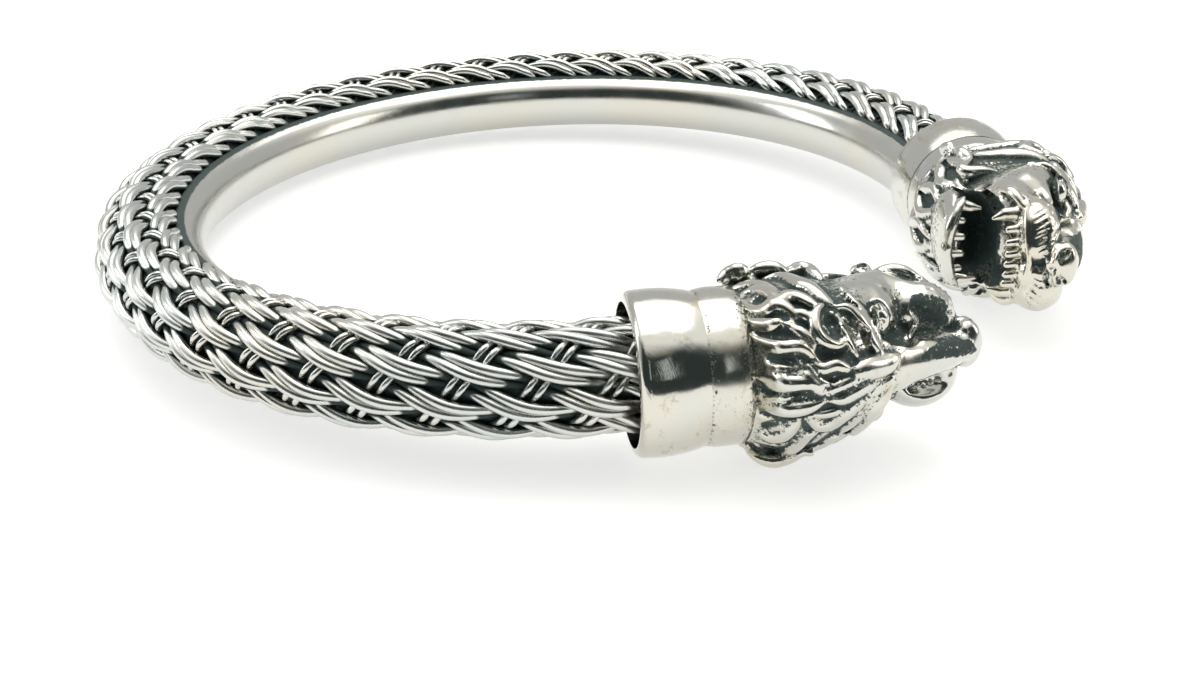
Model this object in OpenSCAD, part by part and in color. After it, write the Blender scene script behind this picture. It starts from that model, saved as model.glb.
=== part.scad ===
// Open cuff bracelet: a braided sleeve over a smooth liner band, with a plain
// ferrule and a cast lion head on each end. Millimetres, +Z up, lying on its
// side as it rests on a table, with the opening between the heads towards +X.

/* [Cuff] */
// Radius of the cuff's centre line
cuff_r = 34.7; // [31:0.1:37]
// Angle from the back of the cuff to each end of the braid
half_angle = 137.3; // [130:0.1:142]
// Tilt of the cuff's plane as it rests on its heads and its back
rest_tilt = 2.2; // [0:0.1:4]

/* [Braided sleeve] */
// Outer diameter of the braided sleeve
sleeve_d = 8; // [7:0.1:9]
// Wall of the braid, two layers of paired wire
sleeve_wall = 1.1; // [0.9:0.1:1.4]
// Half angle of the slot along the wrist side, where the liner shows
slot_half = 41; // [30:1:45]
// Length of braid held inside each ferrule
tuck = 3; // [2:0.1:3.2]

/* [Liner band] */
// How far the liner's rounded face stands from the centre line
liner_face = 4.7; // [4.3:0.05:4.9]
// Radius of the liner's rounded face
liner_round = 4; // [2.4:0.1:4.6]
// Radius of the liner's upper shoulder, which dips below the braid
shoulder_r = 2.3; // [2:0.1:4]
// How far round the braid the liner and its slot sit below the cuff's plane
liner_roll = 4; // [0:1:10]
// Distance from the centre line to the liner's flat back
liner_back = 2; // [1:0.1:2.6]

/* [Ferrules and neck rings] */
// Outer radius of the ferrule at its fullest
ferrule_r = 5.6; // [5.2:0.05:6]
// Length of the ferrule
ferrule_len = 4.55; // [4:0.05:6]
// Radius of the bore that holds the braid
ferrule_bore = 4.85; // [4.8:0.05:5]
// Radius of the hole that seats the head's spigot
seat_r = 3; // [2.5:0.1:3.4]
// Radius of the neck ring behind the mane
neck_r = 5.3; // [5:0.05:5.5]
// Length of the neck ring
neck_len = 2.9; // [2:0.05:4]

/* [Lion heads] */
// Number of locks round the mane
locks = 17; // [11:2:21]
// Height of the locks
lock_h = 0.34; // [0:0.02:0.5]
// How much higher the mane stands on the crown of the head
crest = 1.3; // [0:0.1:1.6]
// How far the mane sits below the neck's axis
mane_drop = 0.2; // [0:0.05:0.4]
// How far the face sits above the neck's axis, as both heads are cast
face_up = 0.8; // [0:0.1:1]
// Half width of the open mouth
mouth_w = 3; // [2:0.1:3.2]
// Clearance between neighbouring pieces
gap = 0.05; // [0.04:0.01:0.1]

/* [Hidden] */
tube_r = sleeve_d / 2;
end_len = ferrule_len + gap + neck_len;
// Where the middle of the bounding box lies along X, from the cuff's centre
box_mid = 2.14;
// Height of the cuff's centre above the table
rest_z = 5.331;

silver = [0.80, 0.79, 0.76];
dark_silver = [0.55, 0.56, 0.55];

// Mane outline: [x, radius, depth factor of the locks], from the neck forward
MANE = [
    [-0.25, 4.70, 0.00],
    [ 0.25, 5.15, 0.30],
    [ 0.90, 5.55, 0.80],
    [ 1.70, 5.88, 1.00],
    [ 2.60, 6.05, 1.00],
    [ 3.50, 6.08, 1.00],
    [ 4.40, 5.95, 1.00],
    [ 5.30, 5.68, 1.00],
    [ 6.10, 5.25, 0.90],
    [ 6.80, 4.70, 0.60],
    [ 7.40, 3.90, 0.30],
    [ 7.80, 2.80, 0.00]
];
SIDES = locks * 3;

// Wavy lock pattern: each lock is a rounded ridge that drifts round the mane
function lock(a, x) = abs(sin(locks / 2 * (a + 7 * sin(62 * x + 20))));
// Share of the crest at an angle from the crown: full to 30 degrees, none past 80
function crown_share(a) =
    let (d = a > 180 ? 360 - a : a, t = min(1, max(0, (80 - d) / 50))) t * t * (3 - 2 * t);
// Radius of the mane at an angle round the head and a row of the outline
function mane_rad(a, row) = row[1] + crest * min(1, row[2] * 1.2) * crown_share(a)
    + lock_h * row[2] * (2 * pow(lock(a, row[0]), 0.7) - 1);
// Shift forward at the cheeks and back at the crown and chin
function mane_fwd(a, x) = x + 0.13 * x * (abs(sin(a)) - 0.35);

module mane_form() {
    n = len(MANE);
    pts = concat(
        [for (i = [0:n - 1]) for (k = [0:SIDES - 1])
            let (a = k * 360 / SIDES, r = mane_rad(a, MANE[i]))
            [mane_fwd(a, MANE[i][0]), r * sin(a), r * cos(a)]],
        [[MANE[0][0], 0, 0], [MANE[n - 1][0] + 0.1, 0, 0]]);
    c0 = n * SIDES;
    c1 = c0 + 1;
    walls = [for (i = [0:n - 2]) for (k = [0:SIDES - 1])
        let (j = (k + 1) % SIDES,
             a = i * SIDES + k, b = i * SIDES + j,
             c = (i + 1) * SIDES + j, d = (i + 1) * SIDES + k)
        each [[a, b, c], [a, c, d]]];
    caps = [for (k = [0:SIDES - 1]) let (j = (k + 1) % SIDES)
        each [[c0, j, k],
              [c1, (n - 1) * SIDES + k, (n - 1) * SIDES + j]]];
    polyhedron(points = pts, faces = concat(walls, caps), convexity = 6);
}

// A ball at a place in the head's frame: x forward, y to the side, z up
module ball(p, r, f = 10) translate(p) sphere(r = r, $fn = f);

// A rounded bar from one ball to another
module bar(p, rp, q, rq, f = 8) hull() { ball(p, rp, f); ball(q, rq, f); }

// The same shape on both sides of the head
module both() { children(); mirror([0, 1, 0]) children(); }

// Skull, cheeks, forehead and the bridge of the nose
module skull() {
    hull() {
        ball([5.6, -0.5, 0.3], 4.8, 18);
        both() ball([7.9, 2.9, 1.0], 2.1);
        ball([8.5, 0, 2.9], 2.2);
    }
    hull() {
        ball([8.6, 0, 3.4], 1.85);
        ball([13.2, 0, 2.5], 1.25);
        ball([14.2, 0, 2.15], 1.05);
    }
}

// Brow ridges, eyes and ears
module brow_eye_ear() {
    both() {
        bar([6.1, 4.2, 2.2], 0.6, [7.2, 2.4, 4.3], 0.55);
        bar([7.2, 2.4, 4.3], 0.55, [8.2, 1.1, 4.9], 0.5);
        ball([8.15, 3.2, 3.3], 0.75);
        difference() {
            hull() {
                ball([3.6, 3.6, 4.2], 0.9);
                ball([4.7, 4.3, 3.6], 0.9);
            }
            ball([5.2, 4.7, 4.2], 0.75, 10);
        }
    }
}

// Upper jaw with its two whisker pads, the nose and the upper lip
module upper_jaw() {
    both() hull() {
        ball([12.0, 2.1, 0.5], 2.05, 14);
        ball([9.3, 3.1, -0.5], 1.45);
    }
    both() hull() {
        ball([13.3, 1.05, 0.15], 1.4);
        ball([11.8, 1.6, 0.2], 1.6);
    }
    hull() {
        both() ball([14.95, 0.75, 1.85], 0.92);
        ball([14.85, 0, 1.15], 0.9);
        ball([13.6, 0, 1.2], 1.2);
    }
}

// Lower jaw: a thin lip round the front, with the chin under it
module lower_jaw() {
    hull() {
        both() ball([6.2, 2.0, -4.1], 1.6);
        both() ball([9.0, 2.2, -4.6], 1.0);
        ball([10.0, 0, -5.2], 0.95);
    }
    both() {
        bar([8.4, 3.1, -1.8], 0.75, [9.2, 3.35, -3.6], 0.65);
        bar([9.2, 3.35, -3.6], 0.65, [10.2, 2.4, -5.1], 0.55);
        bar([10.2, 2.4, -5.1], 0.55, [10.7, 0, -5.8], 0.5);
    }
}

// Space of the open mouth, wide at the lips and narrow at the throat
module mouth() {
    hull() {
        both() ball([13.2, mouth_w - 1.3, -2.6], 1.4);
        both() ball([12.6, mouth_w - 1.2, -4.3], 1.2);
        both() ball([9.2, mouth_w - 1.3, -3.2], 1.3);
        ball([6.2, 0, -2.9], 1.2);
    }
}

// Four fangs and the rows of front teeth
module teeth() {
    both() {
        bar([12.1, 3.1, -0.8], 0.62, [12.2, 2.85, -2.8], 0.2, 8);
        bar([9.4, 3.05, -4.5], 0.5, [10.0, 2.85, -3.2], 0.2, 8);
        for (y = [0.45, 1.35, 2.2])
            bar([13.25 - 0.1 * y, y, -0.8], 0.42, [13.4 - 0.1 * y, y, -1.85], 0.3, 5);
        for (y = [0.7, 2])
            bar([10.0 - 0.14 * y, y, -5.3], 0.42, [10.2 - 0.14 * y, y, -4.5], 0.28, 5);
    }
}

// Head casting in its own frame: neck end of the mane at x = 0
module lion_head() color(silver) {
    // neck ring and the spigot that seats in the ferrule
    rotate([0, 90, 0]) {
        translate([0, 0, -neck_len]) cylinder(r = neck_r, h = neck_len - 0.35, $fn = 40);
        translate([0, 0, -0.36]) cylinder(r1 = neck_r, r2 = neck_r - 0.35, h = 0.36, $fn = 40);
        translate([0, 0, -0.01]) cylinder(r = neck_r - 0.35, h = 0.4, $fn = 40);
        translate([0, 0, -neck_len - 1.1]) cylinder(r = seat_r - gap, h = 1.2, $fn = 32);
    }
    difference() {
        union() {
            translate([0, -mane_drop, 0]) mane_form();
            translate([0, face_up, 0]) {
                skull();
                upper_jaw();
                lower_jaw();
                brow_eye_ear();
            }
        }
        translate([0, face_up, 0]) {
            mouth();
            // nostrils
            both() ball([15.75, 0.8, 1.4], 0.38, 8);
        }
    }
    translate([0, face_up, 0]) teeth();
}

// Ferrule in the same frame as the head: its back edge is at x = -end_len
module ferrule() color(silver)
    translate([-end_len, 0, 0]) rotate([0, 90, 0]) rotate_extrude($fn = 96)
        difference() {
            union() {
                intersection() {
                    square([ferrule_r + 1, ferrule_len]);
                    translate([ferrule_r - 10, 1.7]) circle(r = 10, $fn = 180);
                    translate([0, 0.62]) square([ferrule_r + 1, ferrule_len]);
                }
                square([ferrule_r - 0.67, 1]);
                translate([ferrule_r - 0.67, 0.62]) circle(r = 0.62, $fn = 48);
            }
            translate([-1, -1]) square([ferrule_bore + 1, tuck + 0.15 + 1]);
            translate([-1, -1]) square([seat_r + 1, ferrule_len + 2]);
        }

// Cross-sections: +x points away from the wrist
module sleeve_section(inset = 0)
    difference() {
        circle(r = tube_r - inset, $fn = 96);
        circle(r = tube_r - sleeve_wall + inset, $fn = 96);
        rotate(liner_roll) translate([inset * 2, 0])
            polygon([[0, 0], [-9, -9 * tan(slot_half)], [-9, 9 * tan(slot_half)]]);
    }

// Half plane under the middle of the liner's face, and the rounder shoulder above it
module liner_shoulder(inset = 0) {
    translate([shoulder_r - liner_face, 0]) circle(r = shoulder_r - inset, $fn = 96);
    translate([-9, -9]) square([9, 9]);
}

module liner_section(inset = 0)
    rotate(liner_roll) intersection() {
        liner_shoulder(inset);
        translate([liner_round - liner_face, 0])
            circle(r = liner_round - inset, $fn = 96);
        translate([-inset * 2, 0])
            polygon([[-liner_back, -liner_back * tan(slot_half - 0.9)],
                     [-9, -9 * tan(slot_half - 0.9)],
                     [-9, 9 * tan(slot_half - 0.9)],
                     [-liner_back, liner_back * tan(slot_half - 0.9)]]);
    }

// Run along the cuff: the first child is the section of the arc, the second
// the slightly smaller section of the straight tuck at each end
module cuff_run(straight) {
    rotate([0, 0, 180 - half_angle])
        rotate_extrude(angle = 2 * half_angle, $fn = 240)
            translate([cuff_r, 0]) children(0);
    for (s = [0, 1]) mirror([0, s, 0])
        rotate([0, 0, 180 - half_angle]) translate([cuff_r, 0.6, 0])
            rotate([90, 0, 0]) linear_extrude(straight + 0.6) children(1);
}

// Frame of an end: x along the straight end towards the opening, z outward
module end_frame(s)
    mirror([0, s, 0])
        rotate([0, 0, half_angle - 180]) translate([cuff_r, 0, 0])
            rotate([0, 0, 90]) translate([end_len, 0, 0]) rotate([90, 0, 0])
                children();

// The whole cuff as it rests on a table
module at_rest()
    translate([-box_mid, 0, rest_z]) rotate([0, -rest_tilt, 0]) children();

module inner_band() color(silver) at_rest() cuff_run(tuck) {
    liner_section();
    liner_section(0.05);
}
module woven_sleeve() color(dark_silver) at_rest() cuff_run(tuck) {
    sleeve_section();
    sleeve_section(0.05);
}
module ferrule_right() at_rest() end_frame(0) ferrule();
module ferrule_left() at_rest() end_frame(1) ferrule();
module lion_head_right() at_rest() end_frame(0) lion_head();
module lion_head_left() at_rest() end_frame(1) lion_head();

inner_band();
woven_sleeve();
ferrule_left();
ferrule_right();
lion_head_left();
lion_head_right();
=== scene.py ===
import math
import bpy
import numpy as np
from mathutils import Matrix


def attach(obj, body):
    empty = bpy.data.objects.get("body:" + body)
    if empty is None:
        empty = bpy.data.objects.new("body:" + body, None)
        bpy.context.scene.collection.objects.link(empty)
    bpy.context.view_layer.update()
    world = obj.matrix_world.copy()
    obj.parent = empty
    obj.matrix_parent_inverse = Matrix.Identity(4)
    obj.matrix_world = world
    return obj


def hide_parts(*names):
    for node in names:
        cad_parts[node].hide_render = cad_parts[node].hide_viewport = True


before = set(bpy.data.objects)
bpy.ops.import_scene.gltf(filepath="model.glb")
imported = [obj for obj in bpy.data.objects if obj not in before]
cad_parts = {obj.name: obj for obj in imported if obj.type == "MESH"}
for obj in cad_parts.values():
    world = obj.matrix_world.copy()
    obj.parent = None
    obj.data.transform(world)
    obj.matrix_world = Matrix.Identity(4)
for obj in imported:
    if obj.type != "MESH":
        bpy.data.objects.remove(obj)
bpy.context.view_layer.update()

MM = 0.001

# ---------------------------------------------------------------- the cuff's frame, in millimetres
CUFF_R = 34.7          # radius of the centre line
HALF = math.radians(137.3)   # angle from the back to each end of the braid
END_LEN = 7.5          # ferrule and neck ring
NECK_LEN = 2.9
NECK_R = 5.3
TUBE_R = 4.0
TILT = math.radians(2.2)
BOX_MID = 2.14
REST_Z = 5.331
ARC = CUFF_R * HALF


def at_rest(p):
    """Cuff frame (plane flat, centre at 0) to the rest frame, in mm."""
    c, s = math.cos(TILT), math.sin(TILT)
    x = p[..., 0] * c - p[..., 2] * s - BOX_MID
    z = p[..., 0] * s + p[..., 2] * c + REST_Z
    return np.stack([x, p[..., 1], z], -1)


def centre_line(s):
    """Point, tangent and outward direction at length s from the back (s > 0 on the right arm)."""
    s = np.asarray(s, float)
    sc = np.clip(s, -ARC, ARC)
    a = np.pi + sc / CUFF_R
    u = np.stack([np.cos(a), np.sin(a), 0 * a], -1)
    t = np.stack([-np.sin(a), np.cos(a), 0 * a], -1)
    return CUFF_R * u + (s - sc)[..., None] * t, t, u


def tube_point(s, alpha, r):
    """Point at angle alpha (radians, 0 outward, +90 up) and radius r round the centre line."""
    p, t, u = centre_line(s)
    z = np.array([0.0, 0.0, 1.0])
    return at_rest(p + (r * np.cos(alpha))[..., None] * u + (r * np.sin(alpha))[..., None] * z)


def head_point(side, q):
    """Head frame (f forward, y up, u outward) to the rest frame; side -1 right, +1 left."""
    a = math.pi - HALF
    p0 = np.array([CUFF_R * math.cos(a), side * CUFF_R * math.sin(a), 0.0])
    f = np.array([math.sin(a), -side * math.cos(a), 0.0])
    u = np.array([math.cos(a), side * math.sin(a), 0.0])
    y = np.array([0.0, 0.0, 1.0])
    p = p0 + (q[..., 0:1] + END_LEN) * f + q[..., 1:2] * y + q[..., 2:3] * u
    return at_rest(p)


# ---------------------------------------------------------------- mesh helpers
def mesh_object(name, verts_mm, faces, attrs=None, smooth=True):
    me = bpy.data.meshes.new(name)
    v = np.asarray(verts_mm, np.float64) * MM
    f = np.asarray(faces, np.int32)
    n, k = f.shape
    me.vertices.add(len(v))
    me.vertices.foreach_set("co", v.ravel())
    me.loops.add(n * k)
    me.loops.foreach_set("vertex_index", f.ravel())
    me.polygons.add(n)
    me.polygons.foreach_set("loop_start", np.arange(0, n * k, k, dtype=np.int32))
    me.polygons.foreach_set("loop_total", np.full(n, k, np.int32))
    me.update(calc_edges=True)
    me.validate()
    if smooth:
        me.polygons.foreach_set("use_smooth", np.ones(len(me.polygons), bool))
    for key, val in (attrs or {}).items():
        a = me.attributes.new(key, "FLOAT", "POINT")
        a.data.foreach_set("value", np.asarray(val, np.float32))
    me.update()
    ob = bpy.data.objects.new(name, me)
    bpy.context.scene.collection.objects.link(ob)
    return ob


def sweep(paths, radii, sides, attr=None):
    """Round wires: paths (n, m, 3) and radii (n, m) to verts and quads; attr is not used."""
    n, m, _ = paths.shape
    t = np.gradient(paths, axis=1)
    t /= np.linalg.norm(t, axis=2, keepdims=True) + 1e-12
    ref = np.array([0.0, 0.0, 1.0])
    a = np.cross(t, ref)
    bad = np.linalg.norm(a, axis=2) < 0.1
    a[bad] = np.cross(t[bad], [1.0, 0.0, 0.0])
    a /= np.linalg.norm(a, axis=2, keepdims=True)
    # carry the frame along so that it does not twist
    for i in range(1, m):
        v = a[:, i - 1] - (a[:, i - 1] * t[:, i]).sum(1)[:, None] * t[:, i]
        a[:, i] = v / (np.linalg.norm(v, axis=1)[:, None] + 1e-12)
    b = np.cross(t, a)
    ang = np.arange(sides) * 2 * np.pi / sides
    ring = (np.cos(ang)[None, None, :, None] * a[:, :, None] + np.sin(ang)[None, None, :, None] * b[:, :, None])
    v = paths[:, :, None] + radii[:, :, None, None] * ring
    idx = np.arange(n * m * sides).reshape(n, m, sides)
    q0 = idx[:, :-1]
    q1 = idx[:, 1:]
    quads = np.stack([q0, np.roll(q0, -1, 2), np.roll(q1, -1, 2), q1], -1).reshape(-1, 4)
    return v.reshape(-1, 3), quads


# ---------------------------------------------------------------- materials
def new_material(name):
    m = bpy.data.materials.new(name)
    m.use_nodes = True
    nt = m.node_tree
    for n in list(nt.nodes):
        nt.nodes.remove(n)
    out = nt.nodes.new("ShaderNodeOutputMaterial")
    bs = nt.nodes.new("ShaderNodeBsdfPrincipled")
    nt.links.new(bs.outputs["BSDF"], out.inputs["Surface"])
    return m, nt, bs


def noise(nt, vec, scale, detail=4.0, rough=0.55, distort=0.0):
    n = nt.nodes.new("ShaderNodeTexNoise")
    n.inputs["Scale"].default_value = scale
    n.inputs["Detail"].default_value = detail
    n.inputs["Roughness"].default_value = rough
    n.inputs["Distortion"].default_value = distort
    nt.links.new(vec, n.inputs["Vector"])
    return n


def ramp(nt, fac, stops):
    r = nt.nodes.new("ShaderNodeValToRGB")
    el = r.color_ramp.elements
    el[0].position, el[0].color = stops[0][0], (*stops[0][1], 1)
    el[1].position, el[1].color = stops[-1][0], (*stops[-1][1], 1)
    for p, c in stops[1:-1]:
        e = el.new(p)
        e.color = (*c, 1)
    nt.links.new(fac, r.inputs["Fac"])
    return r


def map_range(nt, val, a, b, c, d, smooth=False):
    m = nt.nodes.new("ShaderNodeMapRange")
    m.interpolation_type = "SMOOTHSTEP" if smooth else "LINEAR"
    nt.links.new(val, m.inputs["Value"])
    for k, v in zip(("From Min", "From Max", "To Min", "To Max"), (a, b, c, d)):
        m.inputs[k].default_value = v
    return m.outputs["Result"]


def mix_rgb(nt, fac, a, b):
    m = nt.nodes.new("ShaderNodeMix")
    m.data_type = "RGBA"
    ins = [i for i in m.inputs if i.type == "RGBA"]
    for sock, v in zip(ins, (a, b)):
        if isinstance(v, tuple):
            sock.default_value = (*v, 1)
        else:
            nt.links.new(v, sock)
    nt.links.new(fac, m.inputs["Factor"])
    return [o for o in m.outputs if o.type == "RGBA"][0]


def math_node(nt, op, a, b=None, clamp=False):
    m = nt.nodes.new("ShaderNodeMath")
    m.operation = op
    m.use_clamp = clamp
    for sock, v in zip(m.inputs, (a, b)):
        if v is None:
            continue
        if isinstance(v, (int, float)):
            sock.default_value = v
        else:
            nt.links.new(v, sock)
    return m.outputs[0]


def silver(name, tint=(0.615, 0.62, 0.58), warm=(0.67, 0.645, 0.56), rough=0.16, oxide_and_shade=None, stain=0.0,
           scratch=0.25, dark=(0.030, 0.052, 0.049), wave=0.10, grit=0.8, grain=1500.0):
    """Polished silver; the named vertex attribute blackens the recesses with oxide and also carries painted shade and
    painted reflections.
    """
    m, nt, bs = new_material(name)
    tc = nt.nodes.new("ShaderNodeTexCoord").outputs["Object"]
    big = noise(nt, tc, 90.0, 3.0).outputs["Fac"]
    mid = noise(nt, tc, 420.0, 5.0, 0.6).outputs["Fac"]
    fine = noise(nt, tc, 2600.0, 3.0, 0.6).outputs["Fac"]
    col = mix_rgb(nt, map_range(nt, big, 0.42, 0.68, 0.0, 1.0, True), tint, warm)
    rgh = map_range(nt, mid, 0.3, 0.75, rough * 0.8, rough * 1.35)
    if stain > 0:
        st = map_range(nt, noise(nt, tc, 620.0, 6.0, 0.65, 0.6).outputs["Fac"], 0.54, 0.66, 0.0, stain, True)
        col = mix_rgb(nt, st, col, (0.52, 0.47, 0.34))
        rgh = math_node(nt, "ADD", rgh, math_node(nt, "MULTIPLY", st, 0.22))
    bs.inputs["Metallic"].default_value = 1.0
    if oxide_and_shade:
        at = nt.nodes.new("ShaderNodeAttribute")
        at.attribute_type = "GEOMETRY"
        at.attribute_name = oxide_and_shade
        speck = noise(nt, tc, grain, 6.0, 0.7).outputs["Fac"]
        some = map_range(nt, at.outputs["Fac"], 0.0, 0.25, 0.3 * grit, grit)     # bright faces keep few specks
        lvl = math_node(nt, "ADD", at.outputs["Fac"], math_node(nt, "MULTIPLY", math_node(nt, "SUBTRACT", speck, 0.5), some))
        k = map_range(nt, lvl, 0.30, 0.66, 0.0, 1.0, True)
        col = mix_rgb(nt, k, col, dark)
        rgh = math_node(nt, "ADD", rgh, math_node(nt, "MULTIPLY", k, 0.42))
        nt.links.new(map_range(nt, k, 0.0, 1.0, 1.0, 0.1), bs.inputs["Metallic"])
    nt.links.new(col, bs.inputs["Base Color"])
    nt.links.new(rgh, bs.inputs["Roughness"])
    # shallow waves of hand polishing, then fine scratches
    b1 = nt.nodes.new("ShaderNodeBump")
    b1.inputs["Strength"].default_value = wave
    b1.inputs["Distance"].default_value = 0.0004
    nt.links.new(noise(nt, tc, 260.0, 2.0).outputs["Fac"], b1.inputs["Height"])
    b2 = nt.nodes.new("ShaderNodeBump")
    b2.inputs["Strength"].default_value = scratch
    b2.inputs["Distance"].default_value = 0.00002
    mp = nt.nodes.new("ShaderNodeMapping")
    mp.inputs["Rotation"].default_value = (0.4, 0.7, 0.9)
    mp.inputs["Scale"].default_value = (1.0, 6.0, 1.0)
    nt.links.new(tc, mp.inputs["Vector"])
    nt.links.new(noise(nt, mp.outputs["Vector"], 2400.0, 3.0).outputs["Fac"], b2.inputs["Height"])
    nt.links.new(b1.outputs["Normal"], b2.inputs["Normal"])
    nt.links.new(b2.outputs["Normal"], bs.inputs["Normal"])
    return m


mat_liner = silver("liner_silver", tint=(0.61, 0.612, 0.575), warm=(0.63, 0.615, 0.55), rough=0.20, oxide_and_shade="oxide_and_shade", scratch=0.3, wave=0.06, grit=0.5)
mat_ferrule = silver("ferrule_silver", tint=(0.635, 0.64, 0.60), rough=0.10, stain=0.95, scratch=0.35, wave=0.26)
mat_wire = silver("wire_silver", tint=(0.63, 0.65, 0.63), warm=(0.68, 0.67, 0.62), rough=0.27, oxide_and_shade="oxide_and_shade", scratch=0.2, wave=0.05, grit=0.5)
mat_head = silver("head_silver", rough=0.16, oxide_and_shade="oxide_and_shade", scratch=0.2, wave=0.24, grit=3.4, grain=4200.0, stain=0.3)


def dark_material():
    m, nt, bs = new_material("braid_ground")
    tc = nt.nodes.new("ShaderNodeTexCoord").outputs["Object"]
    n = noise(nt, tc, 1400.0, 5.0, 0.65).outputs["Fac"]
    # dark oxide colour that also stands in for the shade between the wires
    col = mix_rgb(nt, map_range(nt, n, 0.3, 0.7, 0.0, 1.0), (0.022, 0.042, 0.040), (0.055, 0.085, 0.080))
    nt.links.new(col, bs.inputs["Base Color"])
    nt.links.new(map_range(nt, n, 0.3, 0.7, 0.45, 0.75), bs.inputs["Roughness"])
    bs.inputs["Metallic"].default_value = 0.4
    b = nt.nodes.new("ShaderNodeBump")
    b.inputs["Strength"].default_value = 0.5
    b.inputs["Distance"].default_value = 0.00006
    nt.links.new(n, b.inputs["Height"])
    nt.links.new(b.outputs["Normal"], bs.inputs["Normal"])
    return m


mat_shade_ground = dark_material()


# ---------------------------------------------------------------- camera
def aim_camera():
    cam = bpy.data.cameras.new("camera")
    ob = bpy.data.objects.new("camera", cam)
    bpy.context.scene.collection.objects.link(ob)
    from mathutils import Matrix, Vector
    pos = Vector((73.921, -90.447, 51.499)) * MM
    fw = Vector((-0.55313, 0.70015, -0.45149)).normalized()
    rt = Vector((0.78451, 0.62012, 0.00054))
    rt = (rt - rt.dot(fw) * fw).normalized()
    up = rt.cross(fw)
    ob.matrix_world = Matrix((
        (rt.x, up.x, -fw.x, pos.x), (rt.y, up.y, -fw.y, pos.y), (rt.z, up.z, -fw.z, pos.z), (0, 0, 0, 1)))
    cam.sensor_width = 36.0
    cam.sensor_fit = "HORIZONTAL"
    cam.lens = 43.579
    cam.clip_start = 0.005
    cam.clip_end = 20.0
    bpy.context.scene.camera = ob


aim_camera()


# ---------------------------------------------------------------- braid
PITCH = 4.662          # float spacing along a row, on the centre line
ROW = math.radians(41.0)     # angle between rows
ROW_SHIFT = -1.776       # a row lower starts this much further along
S0 = 50.295              # one float centre of the reference row ...
A0 = math.radians(39.2)      # ... and the angle of its line
SAG = math.radians(3.3)      # the floats bow downwards by this much
EDGE_HI = math.radians(148.5)    # the braid stops here above the liner ...
EDGE_LO = math.radians(-135.2)   # ... and here below it
WIRE_P = 0.37
WIRE_Q = 0.235
TUCK = 2.6             # the wires end this far inside the ferrules


def braid_paths(kind, odd):
    """Centre paths of one family of wires, in (s, alpha, r); odd picks every second pair, None all of them."""
    lo, hi = -ARC - TUCK, ARC + TUCK
    # direction of the family over one row, in (s, alpha)
    if kind == "P":
        ds, da, step = 2.0 * PITCH + ROW_SHIFT, -ROW, 0.32
        high, low, pair = 3.61, 2.70, 0.385
    else:
        ds, da, step = ROW_SHIFT, -ROW, 0.30
        high, low, pair = 3.44, 3.00, 0.36
    # a line passes float centres at (S0 + i * PITCH, A0) moved by whole rows
    length = math.hypot(ds, TUBE_R * da)
    n_line = []
    span = (EDGE_HI - EDGE_LO) / ROW
    i0 = int((lo - S0 - abs(ds) * span) / PITCH) - 2
    i1 = int((hi - S0 + abs(ds) * span) / PITCH) + 2
    out = []
    for i in range(i0, i1 + 1):
        if odd is not None and i % 2 != odd:
            continue
        for half in (-0.5, 0.5):
            # parameter k counts rows from the reference float
            k0 = (A0 - EDGE_HI) / ROW
            k1 = (A0 - EDGE_LO) / ROW
            m = int((k1 - k0) * length / step) + 1
            k = np.linspace(k0, k1, m)
            s = S0 + i * PITCH + k * ds
            al = A0 + k * da
            if kind == "P":
                al = al - SAG * np.cos(2 * np.pi * k)
            # offset across the pair, on the tube's surface
            nx, ny = -da * TUBE_R / length, ds / length
            s = s + half * 2 * pair * nx
            al = al + half * 2 * pair * ny / TUBE_R
            keep = (s > lo) & (s < hi) & (al < EDGE_HI) & (al > EDGE_LO)
            if keep.sum() < 4:
                continue
            kk, s, al = k[keep], s[keep], al[keep]
            # +1 at a float's centre for P; the lower wire of a pair starts a little earlier
            c = np.cos(2 * np.pi * (kk - (half * 0.08 if kind == "P" else 0.0)))
            if kind == "P":
                w = np.clip(0.5 + 0.5 * c, 0, 1) ** 0.62
                hold = np.clip((al - math.radians(118.0)) / math.radians(10.0), 0, 1)
                w = np.maximum(w, 0.86 * hold) * (1 - np.clip((al - math.radians(137.0)) / math.radians(8.0), 0, 1))
                r = low + (high - low) * w
            else:
                w = np.clip(0.5 - 0.5 * c, 0, 1) * (1 - np.clip((al - math.radians(122.0)) / math.radians(10.0), 0, 1))
                r = low + (high - low) * w
            # tuck the ends in beside the liner
            e = np.clip(np.minimum(EDGE_HI - al, al - EDGE_LO) / math.radians(9.0), 0, 1)
            r = r - 0.45 * (1 - e) ** 2
            r = r - 0.22 * np.clip((math.radians(-98.0) - al) / math.radians(20.0), 0, 1)
            out.append((s, al, r, w))
    return out


def braid_mesh(name, kind, odd, sides):
    verts, quads, oxide_and_shade = [], [], []
    base = 0
    rad = WIRE_P if kind == "P" else WIRE_Q
    for s, al, r, w in braid_paths(kind, odd):
        p = tube_point(s, al, r)[None]
        v, q = sweep(p, (rad * (0.66 + 0.34 * w))[None], sides)
        # distance of each vertex from the tube's centre line decides the blackening: oxide deep in the weave, and
        # painted shade where the wires dive under their neighbours
        c = tube_point(s, al * 0, r * 0)
        d = np.linalg.norm(v.reshape(len(s), sides, 3) - c[:, None], axis=2).ravel()
        if kind == "P":
            o = 1 - np.clip((d - 3.26) / 0.30, 0, 1)
        else:
            o = 1 - np.clip((d - 3.18) / 0.28, 0, 1)
        near = np.clip((np.abs(s) - (ARC - 5.0)) / 3.0, 0, 1)     # solder has run in beside the ferrules
        o = o * (1 - 0.55 * np.repeat(near, sides))
        verts.append(v)
        quads.append(q + base)
        oxide_and_shade.append(o)
        base += len(v)
    return mesh_object(name, np.concatenate(verts), np.concatenate(quads), {"oxide_and_shade": np.concatenate(oxide_and_shade)})


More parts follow.
